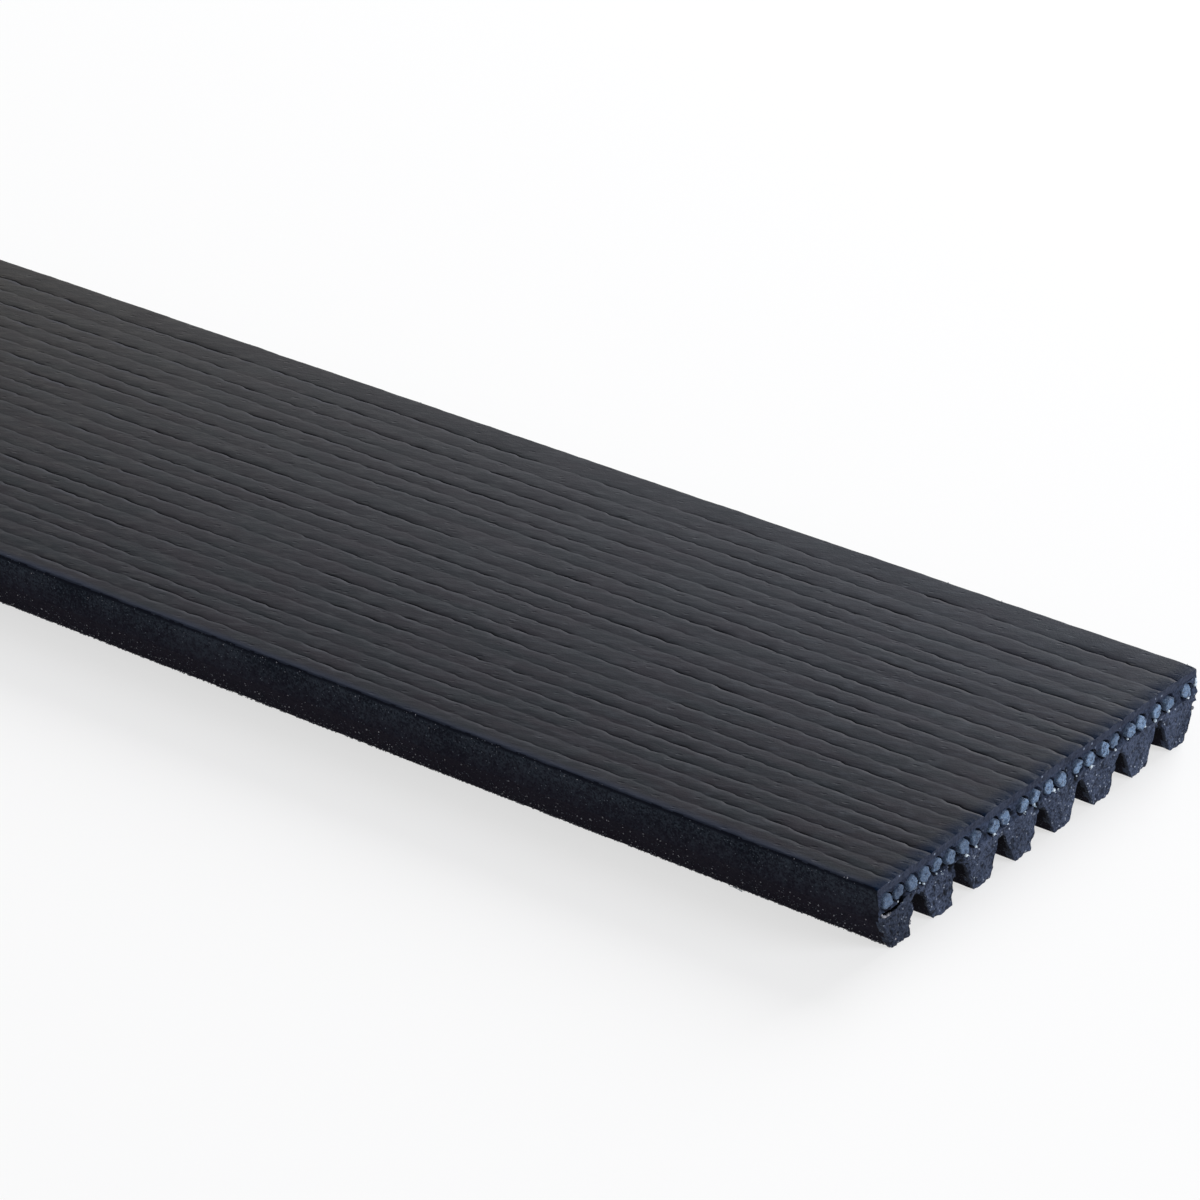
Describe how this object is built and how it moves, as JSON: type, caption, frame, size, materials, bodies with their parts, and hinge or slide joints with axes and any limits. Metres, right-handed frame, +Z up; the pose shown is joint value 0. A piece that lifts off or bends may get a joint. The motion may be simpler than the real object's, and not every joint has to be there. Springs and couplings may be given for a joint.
{
  "type": "serpentine belt",
  "caption": "Cut length of multi-rib serpentine belt: V ribs underneath, paired tensile cords in a cushion layer, creased rubber back.",
  "frame": {"origin": "middle of the belt's length and width, on the plane of the rib tips that it rests on", "axes": "+X along the belt towards the cut end with the split, +Y across the belt away from the split, +Z up towards the back"},
  "size_m": [0.1002, 0.0284, 0.0041],
  "materials": {
    "rib_rubber": "matt, ground, with short fibres",
    "cushion_rubber": "matt, cut",
    "back_rubber": "satin, moulded, with creases along it",
    "cord_fibre": "twisted polyester, cut ends"
  },
  "bodies": {
    "root": {"ribbed_body": "rib_rubber", "cord_cushion": "cushion_rubber", "back_cover": "back_rubber", "tensile_cord_01": "cord_fibre", "tensile_cord_02": "cord_fibre", "tensile_cord_03": "cord_fibre", "tensile_cord_04": "cord_fibre", "tensile_cord_05": "cord_fibre", "tensile_cord_06": "cord_fibre", "tensile_cord_07": "cord_fibre", "tensile_cord_08": "cord_fibre", "tensile_cord_09": "cord_fibre", "tensile_cord_10": "cord_fibre", "tensile_cord_11": "cord_fibre", "tensile_cord_12": "cord_fibre", "tensile_cord_13": "cord_fibre", "tensile_cord_14": "cord_fibre", "tensile_cord_15": "cord_fibre", "tensile_cord_16": "cord_fibre", "tensile_cord_17": "cord_fibre", "tensile_cord_18": "cord_fibre", "tensile_cord_19": "cord_fibre", "tensile_cord_20": "cord_fibre", "tensile_cord_21": "cord_fibre", "tensile_cord_22": "cord_fibre", "tensile_cord_23": "cord_fibre"}
  },
  "joints": []
}
